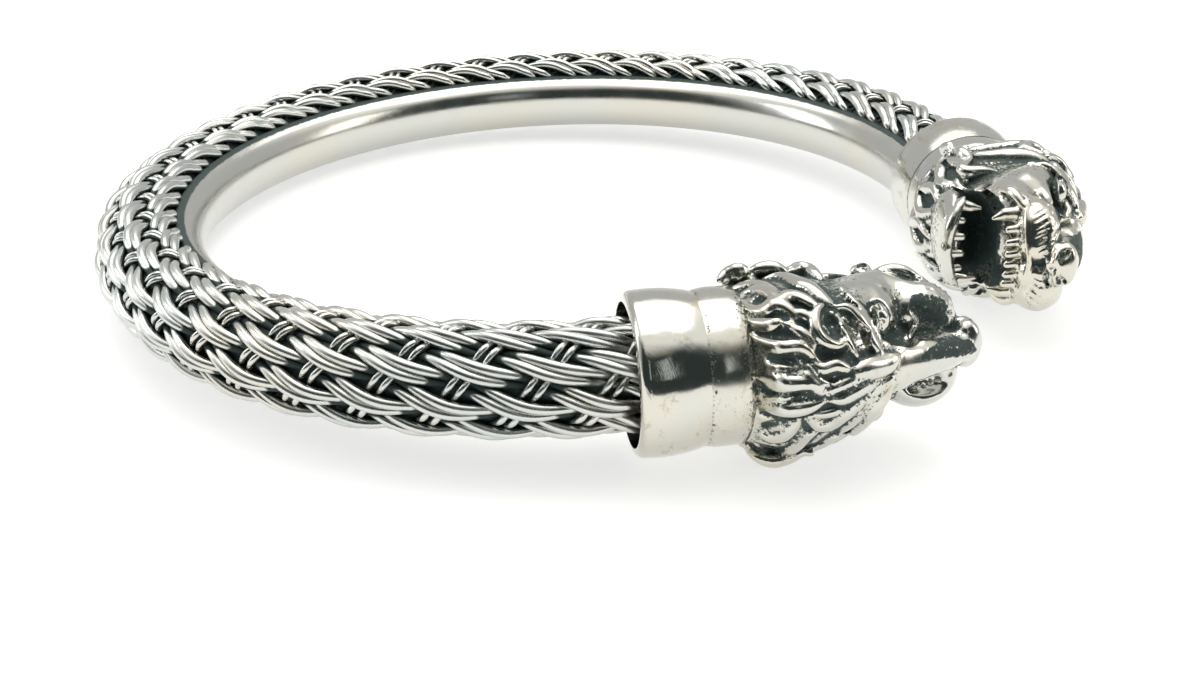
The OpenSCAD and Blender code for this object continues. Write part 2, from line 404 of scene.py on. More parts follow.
braid_pieces = []
for name, kind, odd, sides in (
        ("braid_long_wires_one", "P", 0, 12),
        ("braid_long_wires_two", "P", 1, 12),
        ("braid_cross_wires", "Q", None, 9)):
    ob = braid_mesh(name, kind, odd, sides)
    ob.data.materials.append(mat_wire)
    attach(ob, "root")
    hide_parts("woven_sleeve")
    braid_pieces.append(ob)


def ground_tube():
    """Dark ground under the wires, painted shade and oxide between them: an open tube inside the sleeve."""
    s = np.linspace(-ARC - TUCK, ARC + TUCK, 260)
    al = np.linspace(EDGE_LO, EDGE_HI, 60)
    ss, aa = np.meshgrid(s, al, indexing="ij")
    outer = tube_point(ss, aa, np.full(ss.shape, 2.95))
    inner = tube_point(ss, aa, np.full(ss.shape, 2.80))
    n, m = ss.shape
    v = np.concatenate([outer.reshape(-1, 3), inner.reshape(-1, 3)])
    i = np.arange(n * m).reshape(n, m)
    q = np.stack([i[:-1, :-1], i[:-1, 1:], i[1:, 1:], i[1:, :-1]], -1).reshape(-1, 4)
    qi = q[:, ::-1] + n * m
    rim = []
    for j in (0, m - 1):
        a, b = i[:-1, j], i[1:, j]
        r = np.stack([a, b, b + n * m, a + n * m], -1)
        rim.append(r if j == 0 else r[:, ::-1])
    for k in (0, n - 1):
        a, b = i[k, :-1], i[k, 1:]
        r = np.stack([a, a + n * m, b + n * m, b], -1)
        rim.append(r if k == 0 else r[:, ::-1])
    ob = mesh_object("braid_ground", v, np.concatenate([q, qi] + rim))
    ob.data.materials.append(mat_shade_ground)
    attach(ob, "root")
    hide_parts("woven_sleeve")
    return ob


ground_tube()

# ---------------------------------------------------------------- lion heads
# Both heads come from one sculpt: a distance field in the head's frame (f forward, y up, u outward, mm),
# turned into a mesh. LOCKS and HOLLOWS are control points of the locks of hair, brow and ear ridges and of
# the cuts between them. Kinds: r lock, t tuft, p brow, e ear rim, l lid, q and m folds of the muzzle,
# h cut between locks, k cut at the ear and brow, d pit, s slit.
LOCKS = [
    ("r", 0.24, [(-0.42, 5.02, -2.57), (0.17, 5.17, -3.16), (0.71, 5.44, -2.81), (1.33, 5.22, -2.78), (1.36, 5.43, -1.18)]),
    ("r", 0.22, [(-0.71, 4.35, -2.79), (-0.21, 4.41, -2.25), (0.16, 4.69, -1.94), (0.59, 5.01, -1.64), (1.07, 5.40, -0.90), (1.55, 5.63, 0.03), (1.99, 5.58, 0.85), (2.35, 5.45, 1.58), (2.68, 5.33, 1.96)]),
    ("r", 0.24, [(0.04, 4.98, -0.08), (0.55, 5.25, -0.18), (1.09, 5.46, 0.09), (1.58, 5.57, 0.74), (1.94, 5.44, 1.46), (2.19, 5.30, 1.94), (2.65, 5.46, 1.66), (3.22, 5.44, 1.61), (3.78, 5.30, 1.96), (4.20, 5.10, 2.41), (4.67, 4.78, 2.70)]),
    ("r", 0.25, [(-0.05, 4.95, 0.48), (0.17, 4.87, 1.36), (0.59, 4.84, 2.05), (1.14, 4.96, 2.26), (1.67, 5.18, 2.08), (2.25, 5.19, 2.35), (2.67, 4.97, 2.81), (2.93, 4.63, 3.27)]),
    ("r", 0.22, [(-0.17, 4.55, 1.88), (0.23, 4.36, 2.64), (0.86, 4.38, 3.15), (1.47, 4.44, 3.29), (1.92, 4.61, 3.21)]),
    ("r", 0.22, [(-0.09, 3.94, 2.87), (0.15, 3.60, 3.45), (0.85, 3.41, 4.07), (1.71, 3.34, 4.47), (2.64, 3.39, 4.60), (3.26, 3.06, 4.73), (3.64, 2.66, 4.94)]),
    ("r", 0.16, [(0.38, 2.56, 4.49), (0.69, 2.24, 4.74), (1.36, 2.18, 5.08), (2.09, 2.23, 5.15)]),
    ("r", 0.20, [(0.40, 2.32, 4.62), (0.76, 1.93, 4.92), (1.43, 1.96, 5.22)]),
    ("r", 0.32, [(-0.11, 1.69, 4.58), (0.54, 1.70, 4.98), (1.11, 1.44, 5.28), (1.92, 1.32, 5.46), (2.86, 1.26, 5.54), (3.95, 0.95, 5.58)]),
    ("r", 0.16, [(0.21, 0.03, 5.09), (0.89, 0.25, 5.39), (1.58, 0.43, 5.61), (2.16, 0.45, 5.65)]),
    ("r", 0.27, [(0.29, -0.28, 5.05), (1.20, -0.39, 5.48), (2.23, -0.41, 5.67), (3.20, -0.33, 5.69), (4.08, -0.13, 5.62)]),
    ("r", 0.24, [(0.29, -2.64, 4.37), (0.95, -2.90, 4.59), (1.63, -2.72, 4.91), (2.19, -2.15, 5.22), (2.60, -1.52, 5.46)]),
    ("r", 0.25, [(0.53, -4.23, 3.11), (1.44, -5.04, 2.52), (2.25, -5.04, 2.87), (2.80, -4.08, 4.03), (3.31, -2.97, 4.85), (3.91, -2.57, 5.04)]),
    ("r", 0.25, [(0.14, -5.22, 2.28), (0.77, -5.43, 2.93), (1.62, -5.62, 3.16), (2.62, -5.43, 3.21), (3.53, -5.11, 3.18), (4.14, -5.23, 3.44)]),
    ("r", 0.22, [(-0.78, 5.22, -2.74), (-0.10, 5.43, -3.23), (0.63, 5.80, -2.99), (1.31, 5.65, -2.97)]),
    ("r", 0.24, [(1.33, 5.54, -2.81), (1.91, 5.81, -2.66), (2.68, 5.86, -2.58), (3.31, 5.72, -2.35), (3.73, 5.43, -2.21)]),
    ("r", 0.30, [(2.06, 5.48, -1.46), (2.82, 5.56, -1.40), (3.39, 5.66, -0.60), (3.80, 5.65, 0.32), (4.31, 5.54, 0.87), (4.72, 5.27, 1.57), (5.13, 4.98, 2.07), (5.48, 4.79, 2.39)]),
    ("r", 0.26, [(3.88, 5.65, -2.37), (4.82, 5.34, -3.21), (5.44, 5.15, -2.94), (5.58, 5.21, -1.89), (5.75, 5.23, -0.94)]),
    ("r", 0.20, [(2.87, 4.93, 2.88), (3.35, 4.80, 3.09), (3.82, 4.48, 3.39), (3.93, 4.19, 3.80)]),
    ("r", 0.20, [(2.55, 4.27, 3.68), (3.00, 4.05, 4.04), (3.45, 3.59, 4.40), (3.70, 3.22, 4.67)]),
    ("r", 0.22, [(3.60, 2.28, 5.12), (4.12, 1.95, 5.22), (4.92, 2.02, 5.10), (5.58, 1.74, 5.11), (6.33, 1.43, 5.18)]),
    ("r", 0.15, [(3.15, 2.36, 5.17), (3.44, 1.72, 5.36), (3.97, 1.18, 5.46), (4.63, 0.89, 5.48)]),
    ("r", 0.20, [(2.48, 1.92, 5.31), (3.10, 1.57, 5.45), (3.64, 0.85, 5.54), (4.18, 0.45, 5.57)]),
    ("p", 0.17, [(6.29, 5.39, 1.11), (6.57, 5.24, 2.19), (6.92, 4.94, 3.03), (7.25, 4.54, 3.57), (7.60, 3.95, 4.10), (7.88, 3.40, 4.48), (8.06, 2.80, 4.85)]),
    ("p", 0.30, [(5.76, 4.67, 2.65), (6.26, 4.76, 2.89), (6.70, 4.59, 3.24), (7.04, 4.21, 3.78), (7.29, 3.65, 4.26), (7.53, 3.05, 4.77), (7.89, 2.41, 5.11), (8.34, 1.88, 5.32)]),
    ("p", 0.17, [(5.50, 3.99, 3.59), (5.75, 3.66, 3.95), (5.96, 3.15, 4.39), (6.20, 2.64, 4.74), (6.52, 2.10, 5.01)]),
    ("e", 0.34, [(4.68, 4.86, 2.67), (4.26, 4.70, 3.07), (3.98, 4.33, 3.62), (3.95, 3.90, 4.06), (4.22, 3.44, 4.37), (4.71, 3.13, 4.57), (5.33, 2.93, 4.53), (5.68, 3.13, 4.42)]),
    ("l", 0.16, [(7.07, 5.04, 3.04), (7.70, 5.12, 3.11), (8.31, 4.92, 3.31), (8.69, 4.51, 3.53), (8.85, 3.95, 3.74), (8.66, 3.51, 4.13), (8.32, 3.15, 4.53)]),
    ("l", 0.16, [(7.16, 4.80, 3.30), (7.51, 4.19, 3.84), (7.84, 3.64, 4.23), (8.17, 2.99, 4.67), (8.45, 2.59, 4.87)]),
    ("q", 0.13, [(6.27, 4.08, 3.57), (6.28, 3.55, 4.19)]),
    ("m", 0.18, [(9.08, 2.49, 4.80), (9.97, 2.71, 3.97), (11.06, 2.51, 2.24), (11.17, 3.05, 2.13), (11.01, 3.33, 2.05)]),
    ("t", 0.45, [(8.96, 2.15, 5.05), (8.23, 1.78, 5.33), (7.46, 1.64, 5.36), (6.73, 1.46, 5.30), (6.30, 1.15, 5.32)]),
    ("t", 0.24, [(7.90, 1.38, 5.41), (7.04, 1.33, 5.36), (6.42, 1.02, 5.31), (5.67, 0.79, 5.29), (4.86, 0.62, 5.47), (4.47, 0.28, 5.53)]),
    ("t", 0.27, [(8.09, 1.07, 5.53), (7.16, 0.59, 5.45), (6.33, 0.17, 5.38), (5.48, -0.29, 5.34), (4.67, -0.18, 5.49)]),
    ("t", 0.27, [(8.55, 0.77, 5.51), (7.72, 0.25, 5.48), (6.92, -0.45, 5.34), (6.23, -1.05, 5.19), (5.50, -1.61, 5.13), (4.76, -2.16, 5.08), (3.94, -2.09, 5.25), (3.36, -1.50, 5.45)]),
    ("t", 0.16, [(3.31, -1.12, 5.58), (4.15, -1.18, 5.52), (5.09, -1.15, 5.33), (5.88, -0.88, 5.21), (6.58, -0.28, 5.36)]),
    ("t", 0.33, [(8.59, 0.40, 5.49), (8.03, -0.58, 5.33), (7.51, -1.51, 5.06), (7.20, -2.92, 4.19), (7.10, -4.44, 2.98)]),
    ("t", 0.26, [(8.02, 0.36, 5.53), (7.16, -0.72, 5.33), (6.57, -1.84, 4.92), (6.13, -2.82, 4.36), (5.65, -3.67, 3.85)]),
    ("t", 0.26, [(3.98, -5.10, 3.19), (4.88, -4.58, 3.17), (5.44, -3.77, 3.84), (6.35, -4.37, 3.17)]),
]

HOLLOWS = [
    ("h", [0.12, 0.42, 0.12], [(0.43, 5.12, 0.97), (0.99, 5.21, 1.42), (1.62, 5.34, 1.76)]),
    ("h", [0.10, 0.28, 0.32, 0.28, 0.12], [(0.01, 4.61, 1.79), (0.59, 4.58, 2.52), (1.28, 4.71, 2.76), (1.96, 4.72, 3.06), (2.31, 4.56, 3.36)]),
    ("h", [0.15, 0.45, 0.50, 0.40, 0.15], [(0.23, 4.14, 2.86), (0.77, 4.03, 3.52), (1.55, 4.09, 3.82), (2.13, 3.92, 4.07), (2.59, 3.56, 4.39)]),
    ("h", [0.15, 0.42, 0.42, 0.20], [(0.57, 2.94, 4.35), (1.23, 2.81, 4.72), (1.91, 2.73, 4.95), (2.41, 2.42, 5.14)]),
    ("h", [0.15, 0.40, 0.42, 0.20], [(2.58, 5.36, 1.91), (3.14, 5.21, 2.26), (3.70, 5.02, 2.63), (4.14, 4.69, 3.04)]),
    ("h", [0.12, 0.22, 0.12], [(4.55, 4.98, 2.34), (5.16, 4.77, 2.52), (5.70, 4.65, 2.76)]),
    ("h", [0.20, 0.38, 0.38, 0.20], [(0.08, 0.92, 4.92), (0.80, 0.89, 5.25), (1.69, 0.83, 5.54), (2.75, 0.86, 5.61)]),
    ("h", [0.20, 0.28, 0.30, 0.32, 0.34, 0.12], [(2.37, 2.98, 4.84), (3.17, 2.55, 5.08), (3.55, 1.82, 5.35), (4.40, 1.20, 5.47), (5.33, 0.73, 5.33), (6.30, 1.15, 5.32)]),
    ("h", [0.20, 0.42, 0.38, 0.15], [(3.77, 2.94, 4.83), (4.44, 2.74, 4.80), (5.22, 2.69, 4.73), (5.70, 2.85, 4.57)]),
    ("h", [0.25, 0.40, 0.38, 0.26, 0.26, 0.22, 0.10], [(0.36, -0.84, 5.02), (1.44, -1.04, 5.44), (2.68, -0.77, 5.66), (3.78, -0.73, 5.62), (4.92, -0.55, 5.42), (5.84, -0.37, 5.27), (6.48, -0.24, 5.30)]),
    ("h", [0.30, 0.32, 0.15], [(0.43, -1.92, 4.83), (1.28, -1.51, 5.31), (2.12, -1.68, 5.41)]),
    ("h", [0.15, 0.26, 0.26, 0.15], [(0.29, -3.45, 3.78), (1.10, -3.62, 4.10), (1.80, -3.55, 4.37), (2.48, -2.66, 5.01)]),
    ("h", [0.20, 0.36, 0.12], [(3.64, -4.18, 3.86), (4.31, -2.84, 4.85), (5.45, -2.56, 4.70)]),
    ("h", [0.20, 0.25, 0.12], [(2.85, -1.46, 5.51), (3.56, -2.44, 5.09), (4.26, -2.65, 4.96)]),
    ("h", [0.10, 0.16, 0.10], [(0.74, -5.10, 2.60), (1.66, -5.31, 2.99), (2.77, -5.09, 3.05)]),
    ("h", [0.18, 0.30, 0.12], [(-0.07, 4.88, -2.87), (0.60, 4.83, -2.79), (1.17, 4.97, -2.60)]),
    ("h", [0.10, 0.16, 0.16, 0.16, 0.10], [(0.10, 4.87, -1.25), (0.72, 5.28, -0.61), (1.58, 5.59, -0.52), (1.98, 5.62, 0.48), (2.38, 5.49, 1.45)]),
    ("h", [0.10, 0.15, 0.10], [(0.12, 5.19, -3.19), (0.70, 5.61, -2.78), (1.40, 5.40, -2.84)]),
    ("h", [0.12, 0.30, 0.15], [(3.21, 5.66, -0.77), (3.44, 5.60, 0.80), (3.68, 5.42, 1.53)]),
    ("h", [0.12, 0.22, 0.12], [(4.85, 5.42, -0.97), (5.16, 5.44, 0.26), (5.53, 5.24, 1.27)]),
    ("h", [0.20, 0.32, 0.20], [(2.94, 4.58, 3.42), (3.47, 4.16, 3.89), (3.72, 3.70, 4.20)]),
    ("h", [0.12, 0.20, 0.10], [(2.61, 3.13, 4.73), (3.20, 2.83, 4.95), (3.82, 2.48, 5.08)]),
    ("h", [0.15, 0.30, 0.20], [(3.41, 3.92, 4.11), (3.85, 3.37, 4.52), (4.32, 2.88, 4.81)]),
    ("k", [0.25, 0.50, 0.30], [(5.01, 4.55, 3.04), (5.15, 4.07, 3.55), (5.23, 3.59, 4.05)]),
    ("k", [0.22, 0.36, 0.30], [(6.10, 4.22, 3.45), (6.30, 3.88, 3.91), (6.56, 3.42, 4.35)]),
    ("k", [0.20, 0.36, 0.20], [(6.83, 3.96, 3.94), (7.05, 3.54, 4.34), (7.29, 3.08, 4.66)]),
    ("k", [0.06, 0.10, 0.10, 0.08], [(6.36, 5.36, 1.61), (6.82, 4.78, 3.19), (7.36, 4.04, 3.98), (7.81, 3.21, 4.55)]),
    ("k", [0.10, 0.14, 0.10], [(6.76, 5.53, 1.55), (7.22, 5.52, 2.17), (7.94, 5.44, 2.69)]),
    ("k", [0.15, 0.25, 0.15], [(7.60, 4.92, 3.28), (7.94, 4.84, 3.44), (8.20, 4.67, 3.50)]),
    ("k", [0.15, 0.28, 0.15], [(8.25, 4.05, 3.94), (8.33, 3.67, 4.16), (8.24, 3.33, 4.41)]),
    ("k", [0.08, 0.14, 0.10], [(7.53, 4.58, 3.54), (7.71, 4.20, 3.90), (8.03, 3.70, 4.15)]),
    ("d", [0.30, 0.45, 0.42, 0.30], [(8.68, 2.56, 4.85), (9.22, 2.60, 4.56), (9.77, 2.93, 3.89), (10.37, 3.01, 2.66)]),
    ("d", [0.30, 0.55, 0.40], [(11.20, 3.68, 1.95), (11.81, 3.15, 2.22), (12.40, 2.96, 2.20)]),
    ("s", [0.08, 0.18, 0.08], [(4.70, 0.55, 5.46), (5.04, 0.60, 5.42), (5.35, 0.67, 5.37)]),
    ("s", [0.08, 0.16, 0.08], [(3.50, -1.35, 5.53), (4.09, -1.44, 5.41), (4.76, -1.35, 5.34)]),
    ("s", [0.08, 0.20, 0.08], [(7.10, -1.62, 4.98), (7.43, -0.99, 5.22), (7.89, -0.35, 5.39)]),
    ("s", [0.06, 0.12, 0.06], [(7.12, -3.65, 3.50), (6.99, -2.64, 4.44), (7.03, -2.11, 4.75)]),
    ("s", [0.06, 0.10, 0.06], [(6.66, 0.19, 5.37), (7.06, 0.31, 5.45), (7.45, 0.33, 5.46)]),
    ("s", [0.08, 0.16, 0.08], [(7.41, 1.91, 5.31), (8.00, 1.76, 5.37), (8.45, 1.70, 5.33)]),
    ("s", [0.06, 0.14, 0.06], [(4.17, -2.13, 5.23), (5.11, -2.05, 5.01), (5.82, -1.40, 5.13)]),
]


VOX = 0.125
LO = np.array([-0.9, -7.4, -7.4])
HI = np.array([16.0, 7.4, 7.4])


class Field:
    def __init__(self, vox=VOX):
        self.h = vox
        self.n = np.ceil((HI - LO) / vox).astype(int) + 1
        self.ax = [(LO[i] + vox * np.arange(self.n[i])).astype(np.float32) for i in range(3)]
        self.d = np.full(self.n, 9.0, np.float32)

    def block(self, lo, hi):
        s = []
        for i in range(3):
            a = int(max(0, np.floor((lo[i] - LO[i]) / self.h)))
            b = int(min(self.n[i], np.ceil((hi[i] - LO[i]) / self.h) + 1))
            if b <= a:
                return None, None
            s.append(slice(a, b))
        s = tuple(s)
        g = np.meshgrid(self.ax[0][s[0]], self.ax[1][s[1]], self.ax[2][s[2]], indexing="ij", sparse=True)
        return s, g

    def merge(self, s, d, k, op):
        cur = self.d[s]
        if op == "add":
            self.d[s] = smin(cur, d, k)
        else:
            self.d[s] = smax(cur, -d, k)


def smin(a, b, k):
    if k <= 0:
        return np.minimum(a, b)
    h = np.maximum(k - np.abs(a - b), 0) / k
    return np.minimum(a, b) - h * h * k * 0.25


def smax(a, b, k):
    return -smin(-a, -b, k)


def mid(f):
    """The face sits a little to +y of the head's axis."""
    t = np.clip((f - 3.0) / 6.0, 0, 1)
    return 0.8 * t * t * (3 - 2 * t)


def both_sides(pts):
    """Points given from the face's mid plane, on both sides, moved to the grid frame."""
    p = np.array(pts, float)
    out = []
    for s in (1, -1):
        q = p.copy()
        q[..., 1] = s * q[..., 1] + mid(q[..., 0])
        out.append(q)
    return out


def rot_axes(ax):
    """Rows of a frame from two directions (long, up)."""
    a = np.array(ax[0], float)
    a /= np.linalg.norm(a)
    b = np.array(ax[1], float)
    b = b - (b @ a) * a
    b /= np.linalg.norm(b)
    return np.stack([a, b, np.cross(a, b)])


def add_ball(F, c, r, k=0.5, op="add", axes=None, pad=0.8):
    """Ellipsoid; axes gives (direction of r[0], direction of r[1])."""
    c = np.asarray(c, float)
    m = max(r) if axes is not None else None
    R = np.array([m] * 3) if m else np.array(r, float)
    s, g = F.block(c - R - k - pad, c + R + k + pad)
    if s is None:
        return
    x, y, z = g[0] - c[0], g[1] - c[1], g[2] - c[2]
    if axes is not None:
        A = rot_axes(axes)
        x, y, z = (A[i, 0] * x + A[i, 1] * y + A[i, 2] * z for i in range(3))
    q0 = np.sqrt((x / r[0]) ** 2 + (y / r[1]) ** 2 + (z / r[2]) ** 2)
    q1 = np.sqrt((x / r[0] ** 2) ** 2 + (y / r[1] ** 2) ** 2 + (z / r[2] ** 2) ** 2) + 1e-6
    F.merge(s, (q0 * (q0 - 1) / q1).astype(np.float32), k, op)


def add_tube(F, pts, rad, k=0.2, op="add", flat=None):
    """Tapered tube through points; flat = (direction, factor) squashes it along a direction."""
    p = np.asarray(pts, float)
    r = np.broadcast_to(np.asarray(rad, float), (len(p),)).copy()
    m = r.max() + k + 0.5
    s, g = F.block(p.min(0) - m, p.max(0) + m)
    if s is None:
        return
    best = None
    for i in range(len(p) - 1):
        a, b = p[i], p[i + 1]
        ab = b - a
        L = ab @ ab + 1e-9
        x, y, z = g[0] - a[0], g[1] - a[1], g[2] - a[2]
        t = np.clip((x * ab[0] + y * ab[1] + z * ab[2]) / L, 0, 1)
        dx, dy, dz = x - t * ab[0], y - t * ab[1], z - t * ab[2]
        if flat is not None:
            n, fac = flat
            w = dx * n[0] + dy * n[1] + dz * n[2]
            e = (1 / fac - 1) * w
            dx, dy, dz = dx + e * n[0], dy + e * n[1], dz + e * n[2]
        d = np.sqrt(dx * dx + dy * dy + dz * dz) - (r[i] + t * (r[i + 1] - r[i]))
        best = d if best is None else np.minimum(best, d)
    F.merge(s, best.astype(np.float32), k, op)


def smooth_path(pts, n=4):
    """Smooth path through points (Catmull-Rom)."""
    p = np.asarray(pts, float)
    if len(p) < 3:
        return p
    q = np.vstack([2 * p[0] - p[1], p, 2 * p[-1] - p[-2]])
    out = []
    for i in range(1, len(q) - 2):
        for j in range(n):
            t = j / n
            a, b, c, d = q[i - 1], q[i], q[i + 1], q[i + 2]
            out.append(0.5 * ((2 * b) + (-a + c) * t + (2 * a - 5 * b + 4 * c - d) * t * t + (-a + 3 * b - 3 * c + d) * t ** 3))
    out.append(q[-2])
    return np.array(out)


def surface_nets(d, lo, h):
    ins = d < 0
    n = np.array(d.shape)
    c = ins[:-1, :-1, :-1].astype(np.int8)
    tot = np.zeros(c.shape, np.int8)
    for i in (0, 1):
        for j in (0, 1):
            for k in (0, 1):
                tot += ins[i:n[0] - 1 + i, j:n[1] - 1 + j, k:n[2] - 1 + k]
    act = (tot > 0) & (tot < 8)
    idx = np.argwhere(act)
    I, J, K = idx.T
    acc = np.zeros((len(idx), 3))
    cnt = np.zeros(len(idx))
    corners = [(0, 0, 0), (1, 0, 0), (0, 1, 0), (1, 1, 0), (0, 0, 1), (1, 0, 1), (0, 1, 1), (1, 1, 1)]
    val = {q: d[I + q[0], J + q[1], K + q[2]] for q in corners}
    for a in corners:
        for ax in range(3):
            if a[ax] == 0:
                b = list(a)
                b[ax] = 1
                b = tuple(b)
                va, vb = val[a], val[b]
                m = (va < 0) != (vb < 0)
                t = va[m] / (va[m] - vb[m])
                p = np.tile(np.array(a, float), (m.sum(), 1))
                p[:, ax] = t
                acc[m] += p
                cnt[m] += 1
    v = idx + acc / cnt[:, None]
    vid = np.full(act.shape, -1, np.int32)
    vid[I, J, K] = np.arange(len(idx))
    quads = []
    for ax in range(3):
        o1, o2 = [(1, 2), (2, 0), (0, 1)][ax]
        sl0 = [slice(None)] * 3
        sl1 = [slice(None)] * 3
        sl0[ax] = slice(0, -1)
        sl1[ax] = slice(1, None)
        cr = ins[tuple(sl0)] != ins[tuple(sl1)]
        e = np.argwhere(cr)
        ok = (e[:, o1] > 0) & (e[:, o2] > 0) & (e[:, o1] < n[o1] - 1) & (e[:, o2] < n[o2] - 1)
        e = e[ok]
        neg = ins[tuple(e.T)]
        q = []
        for da, db in ((-1, -1), (0, -1), (0, 0), (-1, 0)):
            w = e.copy()
            w[:, o1] += da
            w[:, o2] += db
            q.append(vid[tuple(w.T)])
        q = np.stack(q, -1)
        q[~neg] = q[~neg][:, ::-1]
        quads.append(q)
    return v * h + lo, np.concatenate(quads)


def read_grid(vol, lo, h, p):
    q = (p - lo) / h
    n = np.array(vol.shape)
    q = np.clip(q, 0, n - 1.001)
    i = q.astype(int)
    t = q - i
    out = 0
    for a in (0, 1):
        for b in (0, 1):
            for c in (0, 1):
                w = (t[:, 0] if a else 1 - t[:, 0]) * (t[:, 1] if b else 1 - t[:, 1]) * (t[:, 2] if c else 1 - t[:, 2])
                out = out + w * vol[i[:, 0] + a, i[:, 1] + b, i[:, 2] + c]
    return out


def blur_grid(vol, sigma):
    """Gaussian blur, sigma in voxels."""
    r = int(np.ceil(2.5 * sigma))
    w = np.exp(-0.5 * (np.arange(-r, r + 1) / sigma) ** 2)
    w /= w.sum()
    for ax in range(3):
        p = np.moveaxis(vol, ax, 0)
        e = np.concatenate([np.repeat(p[:1], r, 0), p, np.repeat(p[-1:], r, 0)])
        o = np.zeros_like(p)
        for j in range(2 * r + 1):
            o += np.float32(w[j]) * e[j:j + len(p)]
        vol = np.moveaxis(o, 0, ax)
    return vol


MANE = np.array([[-1.2, 4.7], [-0.3, 4.9], [0.0, 5.0], [0.7, 5.35], [1.6, 5.65], [2.8, 5.75], [4.2, 5.65], [5.6, 5.35], [7.0, 4.8], [8.2, 4.0], [9.4, 2.6], [10.2, 1.0]])


def head_surface(F):
    v, q = surface_nets(F.d, LO, F.h)
    occ = (np.clip(0.5 - F.d / F.h, 0, 1)).astype(np.float32)
    b1 = blur_grid(occ, 0.32 / F.h)
    b2 = blur_grid(occ, 0.85 / F.h)
    gx, gy, gz = np.gradient(F.d, F.h)
    for it in range(2):
        d = read_grid(F.d, LO, F.h, v)
        g = np.stack([read_grid(a, LO, F.h, v) for a in (gx, gy, gz)], -1)
        L = np.linalg.norm(g, axis=1, keepdims=True) + 1e-6
        step = np.clip(d / L[:, 0], -0.4 * F.h, 0.4 * F.h)
        v = v - step[:, None] * g / L
    g = np.stack([read_grid(a, LO, F.h, v) for a in (gx, gy, gz)], -1)
    n = g / (np.linalg.norm(g, axis=1, keepdims=True) + 1e-9)
    a1 = read_grid(b1, LO, F.h, v)
    a2 = read_grid(b2, LO, F.h, v)
    return v, q, n, a1, a2


CY = -0.2      # the mane sits a little low on the neck


def onto_surface(F, p):
    gr = None
    p = np.array(p, float)
    for it in range(5):
        e = 0.1
        d = read_grid(F.d, LO, F.h, p)
        g = np.stack([(read_grid(F.d, LO, F.h, p + e * np.eye(3)[i]) - read_grid(F.d, LO, F.h, p - e * np.eye(3)[i])) / (2 * e) for i in range(3)], 1)
        g /= np.linalg.norm(g, axis=1, keepdims=True) + 1e-6
        p = p - np.clip(d, -0.5, 0.5)[:, None] * g
    return p


def head_base(F):
    s, g = F.block(LO, HI)
    f = g[0]
    cy = CY * np.clip((8 - f) / 4, 0, 1)
    rho = np.sqrt((g[1] - cy) ** 2 + g[2] ** 2)
    r = np.interp(f.ravel(), MANE[:, 0], MANE[:, 1]).reshape(f.shape)
    dr = np.gradient(np.interp(F.ax[0], MANE[:, 0], MANE[:, 1]), F.h)
    sl = np.sqrt(1 + dr ** 2).reshape(f.shape)
    d = (rho - r) / sl
    d = np.maximum(d, -0.3 - f)
    d = np.maximum(d, f - 10.0)
    F.d = np.minimum(F.d, d.astype(np.float32))


def across(p):
    p = np.array(p, float)
    p[:, 1] = 2 * mid(p[:, 0]) - p[:, 1]
    return p


def outward(p):
    p = np.asarray(p, float)
    n = p - np.stack([p[:, 0], 0 * p[:, 0], 0 * p[:, 0]], 1)
    return n / np.linalg.norm(n, axis=1, keepdims=True)


def head_face(F):
    add_ball(F, (7.2, 0.4, 0.5), (3.4, 4.7, 4.8), 0.8)
    add_ball(F, (8.4, 0.7, 2.9), (2.4, 2.5, 2.2), 0.8)
    for q in both_sides([[7.8, 3.0, 0.9]]):
        add_ball(F, q[0], (2.2, 1.8, 2.1), 0.8)
    add_tube(F, both_sides([[8.6, 0, 3.4], [11.0, 0, 3.1], [13.2, 0, 2.5], [14.3, 0, 2.15]])[0], [1.9, 1.5, 1.25, 1.05], 0.7)
    # whisker pads: a little fuller on the lower side
    add_ball(F, (11.9, 2.85, 0.35), (2.5, 2.0, 1.9), 0.5)
    add_ball(F, (12.1, -1.5, 0.75), (2.75, 2.45, 2.15), 0.5)
    for q in both_sides([[13.3, 1.1, 0.15]]):
        add_ball(F, q[0], (1.5, 1.4, 1.5), 0.35)
    for q in both_sides([[9.3, 3.2, -0.8]]):
        add_ball(F, q[0], (2.4, 1.35, 1.6), 0.8)
    # nose
    add_ball(F, (14.95, 0.8, 1.85), (1.05, 1.7, 0.85), 0.3)
    add_ball(F, (14.9, 0.8, 1.2), (0.95, 1.0, 0.9), 0.3)
    # lower jaw
    for q in both_sides([[8.6, 3.2, -2.0], [9.1, 3.4, -3.2], [9.8, 3.1, -4.5], [10.5, 1.9, -5.5], [10.75, 0, -5.9]]):
        c = smooth_path(q)
        add_tube(F, c, np.interp(np.linspace(0, 1, len(c)), [0, 0.4, 1], [0.75, 0.6, 0.45]), 0.3)
    add_ball(F, (7.0, 0.6, -4.4), (3.2, 3.4, 1.4), 0.6)
    add_ball(F, (8.4, 0.7, -4.6), (1.9, 2.9, 1.1), 0.5)


EYE = both_sides([[8.15, 3.25, 3.35]])
EAX = [((-0.33, 0.93 * sy, -0.12), (0.58, 0.30 * sy, -0.76)) for sy in (1, -1)]


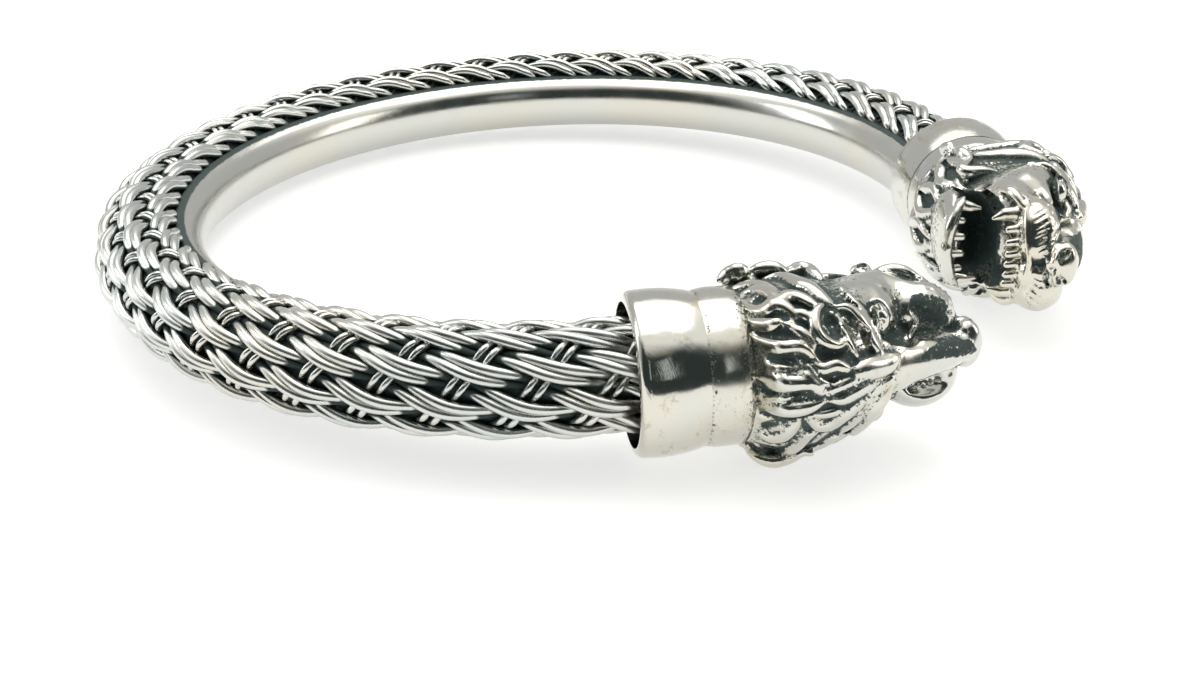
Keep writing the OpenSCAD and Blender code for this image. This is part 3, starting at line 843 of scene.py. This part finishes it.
def head_eyes(F):
    for s in (0, 1):
        sy = 1 if s == 0 else -1
        c = EYE[s][0]
        # deep at the bridge side, shallow at the temple
        add_ball(F, c + np.array([0.42, 0.14 * sy, 0.22]), (1.75, 1.05, 1.0), 0.3, "sub", axes=EAX[s])
        q = both_sides([[10.0, 1.95, 3.3]])[s][0]
        add_ball(F, q, (1.2, 0.75, 0.95), 0.5, "sub")
        q = both_sides([[12.2, 2.3, 2.7]])[s][0]
        add_ball(F, q, (1.6, 0.9, 0.95), 0.5, "sub")
        # flat between the ridge of the nose and its wing
        q = both_sides([[[12.4, 1.55, 3.15], [13.6, 1.65, 2.75], [14.6, 1.5, 2.55]]][0])[s]
        add_tube(F, q, [0.35, 0.6, 0.3], 0.3, "sub")
        add_ball(F, c + np.array([0.1, 0.05 * sy, 0.0]), (0.92, 0.66, 0.70), 0.04, axes=EAX[s])
        # lids
        for k, w in ((1, 0.2), (-1, 0.18)):
            a = np.array(EAX[s][0])
            a = a / np.linalg.norm(a)
            b = np.array(EAX[s][1])
            b = b - (b @ a) * a
            b = b / np.linalg.norm(b)
            m = np.cross(a, b)
            m = m if m @ np.array([0.4, 0.5 * sy, 0.75]) > 0 else -m
            t = np.linspace(-1, 1, 9)
            p = c + np.outer(t * 1.2, a) + np.outer(k * 0.78 * np.cos(t * np.pi / 2), b) + np.outer(0.32 - 0.2 * t ** 2, m)
            add_tube(F, p, w * (0.6 + 0.5 * np.cos(t * np.pi / 2)), 0.1)


def head_locks(F):
    for kind, r, pts in HOLLOWS:
        if kind != "h":
            continue
        p = np.array(pts)
        p[:, 1] += CY * np.clip((8 - p[:, 0]) / 4, 0, 1)
        c = smooth_path(p + 0.22 * outward(p))
        rr = np.interp(np.linspace(0, 1, len(c)), np.linspace(0, 1, len(r)), np.array(r, float))
        add_tube(F, c, rr * 1.3 + 0.03, 0.12, "sub")
    for kind, r, pts in LOCKS:
        p = np.array(pts)
        if kind in ("r", "t"):
            p[:, 1] += CY * np.clip((8 - p[:, 0]) / 4, 0, 1)
            c = smooth_path(p - (0.06 if kind == "r" else 0.08) * outward(p))
            t = np.linspace(0, 1, len(c))
            rr = 1.42 * min(r * 1.3, 0.16 + 0.76 * r) * (0.42 + 0.72 * np.sin(np.pi * t) ** 0.8)
            add_tube(F, c, rr, 0.12)


def head_features(F):
    for kind, r, pts in LOCKS:
        p = np.array(pts)
        if kind in ("p", "e", "q", "m"):
            for m in ((p, across(p)) if kind in "m" else (p,)):
                c = smooth_path(m)
                t = np.linspace(0, 1, len(c))
                rr = r * 1.15 * (0.55 + 0.5 * np.sin(np.pi * t))
                add_tube(F, c, rr, 0.1)
    for kind, r, pts in HOLLOWS:
        p = np.array(pts)
        if kind in ("k", "d", "s"):
            for m in ((p, across(p)) if kind == "d" else (p,)):
                c = smooth_path(m)
                rr = np.interp(np.linspace(0, 1, len(c)), np.linspace(0, 1, len(r)), r)
                add_tube(F, c, rr, 0.08 if kind != "d" else 0.25, "sub")


def head_back_locks(F):
    """Wavy strands round the part of the mane away from the crown, in two tiers."""
    rng = np.random.default_rng(3)
    lo, hi = 114.0, 300.0
    n = 13
    w = (hi - lo) / n
    rad = lambda f: np.interp(f, MANE[:, 0], MANE[:, 1])
    for tier, (f0, f1) in enumerate(((4.6, 8.2), (-0.2, 5.6))):
        for i in range(n):
            a0 = lo + w * (i + 0.5 + 0.5 * (1 - tier))
            ph = (i % 2) * np.pi + rng.uniform(-0.4, 0.4)
            f = np.linspace(f0, f1 + rng.uniform(-0.3, 0.5), 14)
            a = np.radians(a0 + 0.26 * w * np.sin(2 * np.pi * (f - 0.3) / 4.4 + ph))
            R = rad(f) + 0.08 + 0.12 * tier * np.clip((f - 1.5) / 3, 0, 1)
            p = np.stack([f, R * np.sin(a) + CY * np.clip((8 - f) / 4, 0, 1), R * np.cos(a)], 1)
            t = np.linspace(0, 1, 14)
            add_tube(F, p, (0.52 if tier else 0.4) * (0.62 + 0.45 * np.sin(np.pi * t) ** 0.7) * (1 - 0.5 * t ** 6), 0.12)
            # a thin second lock beside it
            a2 = a + np.radians(0.3 * w) * np.sin(np.pi * t)
            p = np.stack([f, R * np.sin(a2) + CY * np.clip((8 - f) / 4, 0, 1), R * np.cos(a2)], 1)
            add_tube(F, p[2:], 0.24 * (1 - 0.6 * t[2:] ** 3), 0.1)
        for i in range(n):
            am = np.radians(lo + w * (i + 1.0 + 0.5 * (1 - tier)))
            for c in ((f0 + 0.9, f0 + 3.1) if i % 2 else (f0 + 2.0, f0 + 4.2)):
                if c > f1 - 0.3:
                    continue
                ff = np.array([c - 0.8, c, c + 0.8])
                rd = rad(ff) + 0.15
                q = np.stack([ff, rd * np.sin(am), rd * np.cos(am)], 1)
                add_tube(F, q, [0.12, 0.36, 0.12], 0.1, "sub")


def head_mouth(F):
    for q in both_sides([[11.7, 1.85, -3.35]]):
        add_ball(F, q[0], (3.2, 2.45, 1.75), 0.2, "sub")
    for q in both_sides([[9.6, 1.95, -3.2]]):
        add_ball(F, q[0], (2.8, 2.4, 1.6), 0.2, "sub")
    add_ball(F, (8.0, 0.7, -3.0), (3.8, 3.0, 1.4), 0.3, "sub")
    add_ball(F, (12.2, 0.8, -3.7), (2.8, 2.3, 1.9), 0.2, "sub")
    # gutter behind the lower lip
    for q in both_sides([[8.6, 3.2, -3.0], [9.2, 2.9, -4.1], [9.9, 1.7, -5.0], [10.2, 0, -5.3]]):
        add_tube(F, smooth_path(q), 0.42, 0.1, "sub")


UP = [both_sides([[13.25 - 0.08 * y, y, -0.95], [13.45 - 0.1 * y, y * 0.98, -2.0]])[s] for y in (0.42, 1.3) for s in (0, 1)]
UP += [both_sides([[12.85, 2.2, -1.0], [12.95, 2.18, -1.95]])[s] for s in (0, 1)]
UF = both_sides([[12.1, 3.1, -1.0], [12.1, 3.1, -2.0], [12.2, 2.85, -2.95]])
LW = [both_sides([[10.0 - 0.14 * y, y, -5.6], [10.25 - 0.14 * y, y * 0.97, -4.5]])[s] for y in (0.7, 2.0) for s in (0, 1)]
LF = both_sides([[9.4, 3.05, -4.6], [9.8, 2.95, -3.9], [10.0, 2.85, -3.15]])


def head_teeth(F):
    for q in UP:
        add_tube(F, q, [0.42, 0.31], 0.06)
    for q in UF:
        add_tube(F, q, [0.62, 0.5, 0.16], 0.08)
    for q in LW:
        add_tube(F, q, [0.42, 0.28], 0.06)
    for q in LF:
        add_tube(F, q, [0.5, 0.36, 0.14], 0.08)
    # upper lip: corner of the mouth to the fang, then round the front
    for q in both_sides([[9.2, 3.7, -1.9], [10.3, 4.3, -1.5], [11.4, 4.3, -1.15], [12.4, 3.8, -0.8]]):
        c = smooth_path(q)
        add_tube(F, c, 0.42 * (0.6 + 0.5 * np.sin(np.pi * np.linspace(0, 1, len(c)))), 0.2)
    for q in both_sides([[12.3, 4.0, -0.5], [13.0, 3.35, -0.7], [13.8, 2.2, -0.85], [14.35, 1.0, -0.8], [14.45, 0.0, -0.7]]):
        add_tube(F, smooth_path(q), 0.22, 0.12)
    for k in range(6):
        y = 3.75 - 0.55 * k
        for q in both_sides([[13.0 + 0.3 * k, y + 0.5, 1.15 - 0.1 * k], [13.4 + 0.26 * k, y + 0.2, 0.4 - 0.08 * k], [13.7 + 0.2 * k, y - 0.05, -0.35]]):
            c = onto_surface(F, smooth_path(q, 3))
            add_tube(F, c, [0.02, 0.06, 0.09, 0.11, 0.11, 0.11, 0.09], 0.05, "sub")
    # dimples of the whiskers
    for k in range(3):
        for j in range(3):
            for q in both_sides([[12.3 + 0.5 * j, 3.3 - 0.45 * j - 0.1 * k, 0.75 + 0.45 * k]]):
                c = onto_surface(F, np.vstack([q[0], q[0] + (0.12, -0.05, 0)]))
                add_tube(F, c, 0.1, 0.05, "sub")


def head_nose(F):
    for q in both_sides([[16.0, 0.42, 1.0], [15.95, 0.8, 1.25], [15.6, 1.15, 1.6], [15.2, 1.3, 1.95]]):
        add_tube(F, q, [0.2, 0.3, 0.22, 0.1], 0.1, "sub")
    for q in both_sides([[15.6, 0.15, 0.85], [15.75, 0.7, 0.8], [15.5, 1.15, 1.05], [15.1, 1.32, 1.6], [14.7, 1.25, 2.2]]):
        add_tube(F, smooth_path(q), 0.18, 0.2)
    for q in both_sides([[14.9, 1.08, 1.15]]):
        add_ball(F, q[0], (0.6, 0.6, 0.6), 0.3)
    for q in both_sides([[15.9, 0.75, 1.1], [15.65, 1.15, 1.3]]):
        add_tube(F, q, [0.22, 0.16], 0.08, "sub")
    add_tube(F, [(15.7, 0.8, 0.8), (15.3, 0.8, 0.2), (14.9, 0.8, -0.8)], [0.08, 0.15, 0.12], 0.08, "sub")
    for q in both_sides([[15.1, 0.4, 0.5], [14.8, 1.5, 0.65], [14.1, 2.15, 1.25], [13.2, 2.35, 1.85]]):
        add_tube(F, smooth_path(q), 0.12, 0.08, "sub")


def tube_distance(v, pts, rad):
    p = np.asarray(pts, float)
    r = np.broadcast_to(np.asarray(rad, float), (len(p),))
    best = np.full(len(v), 9.0)
    for i in range(len(p) - 1):
        ab = p[i + 1] - p[i]
        t = np.clip((v - p[i]) @ ab / (ab @ ab + 1e-9), 0, 1)
        best = np.minimum(best, np.linalg.norm(v - p[i] - t[:, None] * ab, axis=1) - (r[i] + t * (r[i + 1] - r[i])))
    return best


def head_oxide_and_reflection(v, a1, a2):
    k = np.clip((9.0 - v[:, 0]) / 2, 0, 1)
    oxide_and_shade = np.clip((a1 - 0.452 + 0.05 * k) * 3.9, 0, 1) + k * np.clip((a2 - 0.463) * 3.4, 0, 1) + (1 - k) * np.clip((a2 - 0.56) * 3.5, 0, 1)
    soft_step = lambda d, w: np.clip(0.5 - d / w, 0, 1)
    # inside of the mouth, but not its teeth
    m = np.zeros(len(v))
    for q in both_sides([[10.6, 1.85, -3.35]]):
        m = np.maximum(m, soft_step(np.linalg.norm((v - q[0]) / (2.9, 2.55, 2.0), axis=1) - 1.0, 0.12))
    m = np.maximum(m, soft_step(np.linalg.norm((v - (8.6, 0.75, -3.35)) / (3.6, 3.75, 1.95), axis=1) - 1.03, 0.12))
    te = np.full(len(v), 9.0)
    for q in UP:
        te = np.minimum(te, tube_distance(v, q, [0.42, 0.31]))
    for q in UF:
        te = np.minimum(te, tube_distance(v, q, [0.6, 0.48, 0.16]))
    for q in LW:
        te = np.minimum(te, tube_distance(v, q, [0.42, 0.28]))
    for q in LF:
        te = np.minimum(te, tube_distance(v, q, [0.45, 0.34, 0.14]))
    tooth = soft_step(te - 0.06, 0.1)
    oxide_and_shade = np.maximum(oxide_and_shade, m)
    # the floor of the mouth is rubbed grey
    oxide_and_shade = oxide_and_shade * (1 - 0.62 * soft_step(v[:, 2] + 4.35, 0.5) * (v[:, 0] > 8.2))
    oxide_and_shade = oxide_and_shade * (1 - 0.93 * tooth)
    f, y, u = v.T
    # painted dark reflection on the facet beside the ridge of the nose, straight along the ridge
    lo = 1.45 - 0.18 * (f - 10.26)
    hi = np.interp(f, [10.26, 11.16, 12.43, 13.9, 14.93, 15.4], [1.45, 1.78, 2.0, 1.85, 1.5, 0.6])
    oxide_and_shade = np.maximum(oxide_and_shade, 0.97 * soft_step(lo - y, 0.06) * soft_step(y - hi, 0.14) * soft_step(2.35 - u, 0.2) * (f > 10.2) * (f < 15.4))
    # below it the blackening is cleared, leaving a bright strip that goes with the painted reflection
    oxide_and_shade = oxide_and_shade * (1 - 0.85 * soft_step(y - lo, 0.06) * soft_step(0.15 - y, 0.4) * soft_step(2.9 - u, 0.4) * (f > 9.6))
    # blackened pits below the eye and behind the whisker pad, with a bright crease between them
    for s in (0, 1):
        q = both_sides([[11.6, 3.1, 1.7], [12.6, 2.6, 1.75], [13.1, 1.9, 1.8]])[s]
        if s == 0:
            oxide_and_shade = np.maximum(oxide_and_shade, 0.95 * soft_step(tube_distance(v, q, [0.75, 0.95, 0.55]), 0.25))
        q = both_sides([[9.0, 2.3, 3.6], [9.9, 1.9, 3.0], [10.4, 1.8, 2.5]])[s]
        oxide_and_shade = np.maximum(oxide_and_shade, 0.9 * soft_step(tube_distance(v, q, [0.4, 0.75, 0.5]), 0.5))
        # ring round the eyeball
        q = EYE[s] + np.array([0.1, 0.05 if s == 0 else -0.05, 0.0])
        a = np.array(EAX[s][0]) / np.linalg.norm(EAX[s][0])
        e = v - q
        w = e @ a
        r = np.sqrt(np.maximum((e * e).sum(1) - w * w, 0))
        k = np.sqrt((w / 0.92) ** 2 + (r / 0.69) ** 2)
        oxide_and_shade = np.maximum(oxide_and_shade, 0.9 * soft_step(np.abs(k - 1.25) - 0.18, 0.2))
        oxide_and_shade = oxide_and_shade * (1 - 0.95 * soft_step(k - 1.02, 0.1))
    crest = tube_distance(v, [(9.15, 2.6, 4.3), (10.57, 2.3, 2.7), (11.18, 2.7, 2.05), (11.24, 3.4, 1.9)], [0.02, 0.1, 0.14, 0.05])
    oxide_and_shade = oxide_and_shade * (1 - 0.95 * soft_step(crest - 0.12, 0.12))
    for q in both_sides([[15.9, 0.75, 1.1], [15.6, 1.2, 1.3]]):
        oxide_and_shade = np.maximum(oxide_and_shade, 0.95 * soft_step(tube_distance(v, q, [0.22, 0.16]) - 0.05, 0.12))
    # the lower side of the muzzle is plain grey
    oxide_and_shade = oxide_and_shade * (1 - 0.78 * soft_step(np.linalg.norm((v - (12.3, -1.6, 2.5)) / (1.25, 1.0, 1.0), axis=1) - 1.5, 0.6) * (y < 0.1))
    # the rims of the ear are rubbed bright
    oxide_and_shade = oxide_and_shade * (1 - 0.6 * soft_step(np.linalg.norm(v - (6.8, 3.5, 4.2), axis=1) - 1.1, 0.9))
    return np.clip(oxide_and_shade, 0, 1)


def raise_crest(v):
    """The mane stands higher towards the crown and the upper side of the head."""
    ease = lambda x, a, b: (lambda t: t * t * (3 - 2 * t))(np.clip((x - a) / (b - a), 0, 1))
    f, y, u = v.T
    rho = np.hypot(y, u) + 1e-6
    w = ease(f, -0.3, 1.8) * (1 - ease(f, 5.4, 8.4)) * ease((0.477 * y + 0.879 * u) / rho, 0.35, 0.88) * ease(rho, 1.5, 4.0)
    return v + 1.45 * w[:, None] * np.array([-0.289, 0.457, 0.841])


def head_build(h):
    F = Field(h)
    head_base(F)
    head_face(F)
    head_eyes(F)
    head_back_locks(F)
    head_locks(F)
    head_features(F)
    head_mouth(F)
    head_teeth(F)
    head_nose(F)
    v, q, n, a1, a2 = head_surface(F)
    return raise_crest(v), q, n, head_oxide_and_reflection(v, a1, a2)




def outward_faces(v, q):
    """Turn all faces over if the mesh is inside out."""
    a, b, c, d = (v[q[:, i]] for i in range(4))
    vol = (np.cross(a, b) * c).sum() + (np.cross(a, c) * d).sum()
    return q if vol > 0 else q[:, ::-1]


def neck_ring():
    """Plain ring behind the mane, lathed round the head's axis."""
    # solder fills the seam to the ferrule, so the ring starts in a shallow valley
    prof = np.array([(-NECK_LEN - 0.07, 3.0), (-NECK_LEN - 0.07, 5.13), (-NECK_LEN - 0.02, 5.15), (-NECK_LEN + 0.1, 5.175), (-NECK_LEN + 0.3, 5.235), (-NECK_LEN + 0.6, 5.29), (-1.9, 5.32),
                     (-1.0, 5.3), (-0.45, 5.26), (-0.2, 5.14), (-0.08, 4.95), (0.1, 4.7), (0.25, 4.4), (0.25, 3.0)])
    n, m = len(prof), 96
    a = np.arange(m) * 2 * np.pi / m
    r = prof[:, 1][:, None] * (1 + 0.0035 * np.sin(3 * a + 1.0) + 0.002 * np.sin(7 * a))[None]
    f = np.repeat(prof[:, :1], m, 1)
    v = np.stack([f, r * np.sin(a), r * np.cos(a)], -1).reshape(-1, 3)
    i = np.arange(n * m).reshape(n, m)
    j = np.roll(i, -1, 0)
    q = np.stack([i, j, np.roll(j, -1, 1), np.roll(i, -1, 1)], -1).reshape(-1, 4)
    oxide_and_shade = np.interp(v[:, 0], [-NECK_LEN, -NECK_LEN + 0.35, -0.9, -0.3, 0.0], [0.3, 0.1, 0.1, 0.3, 0.9])
    return v, q, oxide_and_shade


head_v, head_q, head_n, head_ox_and_reflection = head_build(VOX)
ring_v, ring_q, ring_ox = neck_ring()
for side, node, name in ((-1, "lion_head_right", "lion_head_cast_right"), (1, "lion_head_left", "lion_head_cast_left")):
    hv, rv = head_point(side, head_v), head_point(side, ring_v)
    hq, rq = outward_faces(hv - hv.mean(0), head_q), outward_faces(rv - rv.mean(0), ring_q)
    ob = mesh_object(name, np.concatenate([hv, rv]), np.concatenate([hq, rq + len(hv)]), {"oxide_and_shade": np.concatenate([head_ox_and_reflection, ring_ox])})
    ob.data.materials.append(mat_head)
    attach(ob, "root")
    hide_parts(node)


# ---------------------------------------------------------------- liner band
def liner_band():
    """The rounded band on the wrist side; its upper shoulder dips below the braid."""
    lo = np.radians(np.linspace(-44.6, -1.5, 12))
    hi = np.radians(np.linspace(3.0, 80.0, 12))
    face = np.concatenate([np.stack([-0.7 - 4.0 * np.cos(lo), 4.0 * np.sin(lo)], 1), np.stack([-2.4 - 2.3 * np.cos(hi), 2.3 * np.sin(hi)], 1)])
    corner = np.array([(-2.66, 2.28), (-2.60, 2.27), (-2.5, 2.19), (-2.4, 2.05), (-2.3, 1.93), (-2.08, 1.72), (-1.98, 1.55), (-1.95, 1.3), (-1.95, 0.5)])
    lower = np.array([(-3.38, 2.90), (-3.27, 2.85), (-3.16, 2.75), (-2.9, 2.44), (-2.3, 1.93), (-2.08, 1.72), (-1.98, 1.55), (-1.95, 1.3), (-1.95, 0.5)])[::-1] * (1, -1)
    sec = np.concatenate([face, corner, lower])
    # painted shadow of the braid's edge on the upper shoulder, with oxide; the corner and the back, inside the braid,
    # are dark all through
    oxide_and_shade = np.concatenate([np.zeros(12), np.interp(np.degrees(hi), [60, 76], [0.0, 1.0]), np.ones(18)])
    roll = math.radians(4.0)
    sec = np.stack([sec[:, 0] * math.cos(roll) - sec[:, 1] * math.sin(roll), sec[:, 0] * math.sin(roll) + sec[:, 1] * math.cos(roll)], 1)
    s = np.linspace(-ARC - 2.6, ARC + 2.6, 321)
    p, t, u = centre_line(s)
    v = at_rest(p[:, None] + sec[None, :, :1] * u[:, None] + sec[None, :, 1:] * np.array([0.0, 0.0, 1.0]))
    n, m = v.shape[:2]
    i = np.arange(n * m).reshape(n, m)
    a, b = i[:-1], i[1:]
    q = np.stack([a, np.roll(a, -1, 1), np.roll(b, -1, 1), b], -1).reshape(-1, 4)
    v = v.reshape(-1, 3)
    caps = []
    # each point above the middle of the face pairs with the one below it
    order = np.roll(np.arange(m), -12)
    for row, turn in ((0, True), (n - 1, False)):
        r = i[row][order]
        c = np.array([(r[k], r[k + 1], r[m - 2 - k], r[m - 1 - k]) for k in range((m - 2) // 2)])
        caps.append(c[:, ::-1] if turn else c)
    ob = mesh_object("liner_band", v, outward_faces(v, np.concatenate([q] + caps)), {"oxide_and_shade": np.tile(oxide_and_shade, n)})
    ob.data.materials.append(mat_liner)
    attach(ob, "root")
    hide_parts("inner_band")


liner_band()

# ---------------------------------------------------------------- CAD nodes that stay
for node, mat in (("ferrule_left", mat_ferrule), ("ferrule_right", mat_ferrule)):
    ob = bpy.data.objects[node]
    if ob.material_slots:
        for sl in ob.material_slots:
            sl.material = mat
    else:
        ob.data.materials.append(mat)

# ---------------------------------------------------------------- floor, world and lights
def stage():
    me = bpy.data.meshes.new("floor")
    r = 1.6
    me.from_pydata([(-r, -r, 0), (r, -r, 0), (r, r, 0), (-r, r, 0)], [], [(0, 1, 2, 3)])
    floor = bpy.data.objects.new("floor", me)
    bpy.context.scene.collection.objects.link(floor)
    m, nt, bs = new_material("floor_white")
    tc = nt.nodes.new("ShaderNodeTexCoord").outputs["Object"]
    n = noise(nt, tc, 3.0, 2.0).outputs["Fac"]
    nt.links.new(mix_rgb(nt, n, (0.50, 0.50, 0.50), (0.52, 0.52, 0.515)), bs.inputs["Base Color"])
    bs.inputs["Roughness"].default_value = 0.9
    bs.inputs["Specular IOR Level"].default_value = 0.1
    bs.inputs["Emission Color"].default_value = (1.0, 1.0, 0.995, 1)
    bs.inputs["Emission Strength"].default_value = 0.66
    me.materials.append(m)

    w = bpy.data.worlds.new("studio")
    bpy.context.scene.world = w
    w.use_nodes = True
    nt = w.node_tree
    for n in list(nt.nodes):
        nt.nodes.remove(n)
    out = nt.nodes.new("ShaderNodeOutputWorld")
    bg = nt.nodes.new("ShaderNodeBackground")
    nt.links.new(bg.outputs["Background"], out.inputs["Surface"])
    d = nt.nodes.new("ShaderNodeTexCoord").outputs["Generated"]
    sep = nt.nodes.new("ShaderNodeSeparateXYZ")
    nt.links.new(d, sep.inputs[0])
    # bright ceiling, grey walls, and a dim side of the room in front
    height = sep.outputs["Z"]
    dot = nt.nodes.new("ShaderNodeVectorMath")
    dot.operation = "DOT_PRODUCT"
    nt.links.new(d, dot.inputs[0])
    dot.inputs[1].default_value = (0.64, -0.77, 0.0)
    front = map_range(nt, dot.outputs["Value"], 0.02, 0.46, 0.0, 1.0, True)
    walls = mix_rgb(nt, front, (0.60, 0.60, 0.60), (0.035, 0.045, 0.045))
    edge = math_node(nt, "SUBTRACT", height, math_node(nt, "MULTIPLY", front, 0.17))
    ceil = map_range(nt, edge, 0.55, 0.78, 0.0, 1.0, True)
    sky = mix_rgb(nt, ceil, walls, (1.08, 1.07, 1.01))
    nt.links.new(sky, bg.inputs["Color"])
    bg.inputs["Strength"].default_value = 1.0

    def area(name, loc, target, size, power, color=(1, 1, 1)):
        from mathutils import Vector
        l = bpy.data.lights.new(name, "AREA")
        l.shape = "RECTANGLE"
        l.size, l.size_y = size
        l.energy = power
        l.color = color
        o = bpy.data.objects.new(name, l)
        bpy.context.scene.collection.objects.link(o)
        o.location = loc
        o.rotation_euler = (Vector(target) - Vector(loc)).to_track_quat("-Z", "Y").to_euler()
    area("key", (-0.10, 0.10, 0.45), (0.0, 0.0, 0.0), (0.50, 0.50), 1.3, (1.0, 0.985, 0.95))
    area("left", (-0.42, -0.22, 0.20), (0.0, 0.0, 0.0), (0.16, 0.30), 0.45, (0.97, 0.985, 1.0))
    area("right", (0.40, 0.25, 0.22), (0.02, 0.0, 0.0), (0.16, 0.30), 0.35, (1.0, 0.97, 0.90))
    # a tall dim window on the dark side of the room
    area("window", (0.465, -0.295, 0.32), (0.028, -0.026, 0.009), (0.055, 0.25), 0.033, (0.96, 0.99, 1.0))


stage()
sc = bpy.context.scene
sc.view_settings.view_transform = "Standard"
sc.view_settings.look = "None"
sc.view_settings.exposure = 0.0
